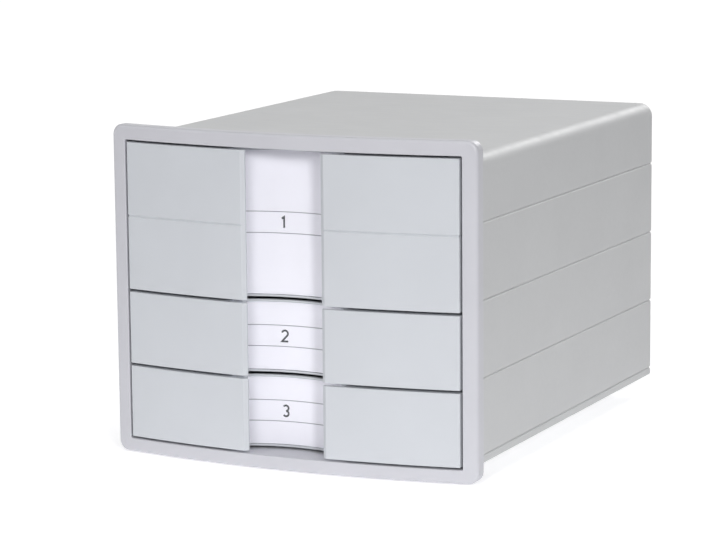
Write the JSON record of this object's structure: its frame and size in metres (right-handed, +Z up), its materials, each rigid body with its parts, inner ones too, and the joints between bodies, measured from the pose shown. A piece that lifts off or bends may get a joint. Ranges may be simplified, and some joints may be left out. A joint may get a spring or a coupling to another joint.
{
  "type": "desktop drawer box",
  "caption": "Desktop box of closed sliding file drawers for A4 papers, with a bowed front frame, recessed label strips between the front panels and grooved side walls.",
  "frame": {"origin": "on the table, under the middle of the overall size", "axes": "+X to the right as seen from the front, +Y from the front to the rear wall, +Z up"},
  "size_m": [0.29, 0.37, 0.245],
  "materials": {
    "frame_plastic": "satin",
    "housing_plastic": "finely textured",
    "front_plastic": "satin",
    "tray_plastic": "satin",
    "label_paper": "uncoated",
    "label_window": "clear",
    "foot_rubber": "matte"
  },
  "bodies": {
    "housing": {"front_frame": "frame_plastic", "housing_base": "housing_plastic", "housing_ring_lower": "housing_plastic", "housing_ring_middle": "housing_plastic", "housing_ring_upper": "housing_plastic", "housing_top": "housing_plastic", "foot_front_left": "foot_rubber", "foot_front_right": "foot_rubber", "foot_rear_left": "foot_rubber", "foot_rear_right": "foot_rubber"},
    "bottom_drawer": {"bottom_drawer_front": "front_plastic", "bottom_drawer_tray": "tray_plastic", "bottom_label_card": "label_paper", "bottom_label_window": "label_window"},
    "middle_drawer": {"middle_drawer_front": "front_plastic", "middle_drawer_tray": "tray_plastic", "middle_label_card": "label_paper", "middle_label_window": "label_window"},
    "top_drawer": {"top_drawer_front": "front_plastic", "top_drawer_tray": "tray_plastic", "top_label_card": "label_paper", "top_label_window": "label_window"}
  },
  "joints": [
    {"name": "bottom_drawer_slide", "type": "slide", "parent": "housing", "child": "bottom_drawer", "axis": [0, -1, 0], "range_m": [0, 0.27]},
    {"name": "middle_drawer_slide", "type": "slide", "parent": "housing", "child": "middle_drawer", "axis": [0, -1, 0], "range_m": [0, 0.27]},
    {"name": "top_drawer_slide", "type": "slide", "parent": "housing", "child": "top_drawer", "axis": [0, -1, 0], "range_m": [0, 0.27]}
  ]
}
